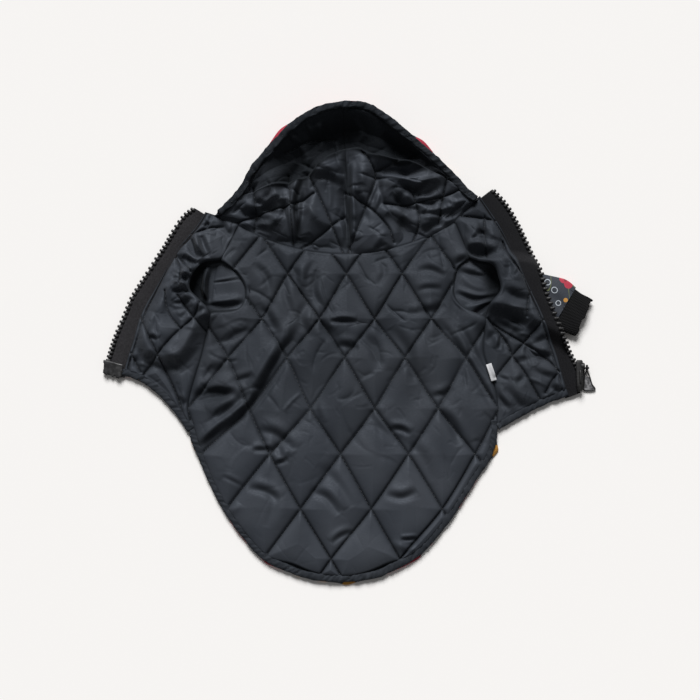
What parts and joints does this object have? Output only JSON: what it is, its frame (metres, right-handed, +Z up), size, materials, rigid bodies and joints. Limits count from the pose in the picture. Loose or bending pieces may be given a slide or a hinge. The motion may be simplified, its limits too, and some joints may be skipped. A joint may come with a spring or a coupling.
{
  "type": "dog winter coat",
  "caption": "Hooded, padded dog coat, unzipped and laid out flat with its quilted lining up; hood, short sleeves with knit cuffs, and an open-ended zip with a swinging pull.",
  "frame": {"origin": "centre of the coat's box, on the surface it lies on", "axes": "+Z up out of the quilted lining, +Y from the tail towards the hood, +X towards the side that carries the slider"},
  "size_m": [0.305, 0.3034, 0.0222],
  "materials": {
    "quilted_lining": "satin nylon, quilted over wadding",
    "printed_cloth": "matt woven polyester with a bright print",
    "edge_binding": "satin nylon, rolled and top-stitched",
    "rib_knit": "matt rib knit",
    "zip_webbing": "matt woven tape",
    "zip_plastic": "moulded black plastic",
    "satin_label": "plain woven satin"
  },
  "bodies": {
    "coat": {"back_outer": "printed_cloth", "back_lining": "quilted_lining", "left_flap_outer": "printed_cloth", "left_flap_lining": "quilted_lining", "right_flap_outer": "printed_cloth", "right_flap_lining": "quilted_lining", "hood_left_outer": "printed_cloth", "hood_left_lining": "quilted_lining", "hood_right_outer": "printed_cloth", "hood_right_lining": "quilted_lining", "hood_binding_left": "edge_binding", "hood_binding_right": "edge_binding", "hem_back": "edge_binding", "hem_left": "edge_binding", "hem_right": "edge_binding", "sleeve_left": "printed_cloth", "sleeve_right": "printed_cloth", "cuff_left": "rib_knit", "cuff_right": "rib_knit", "zip_tape_left": "zip_webbing", "zip_tape_right": "zip_webbing", "zip_teeth_left": "zip_plastic", "zip_teeth_right": "zip_plastic", "zip_pin_left": "zip_plastic", "zip_slider": "zip_plastic", "care_label": "satin_label"},
    "pull": {"zip_pull": "zip_plastic"}
  },
  "joints": [
    {"name": "pull_hinge", "type": "hinge", "parent": "coat", "child": "pull", "pos_m": [0.1487, -0.01722, 0.0024], "axis": [-1, 0, 0], "range_deg": [0, 150]}
  ]
}
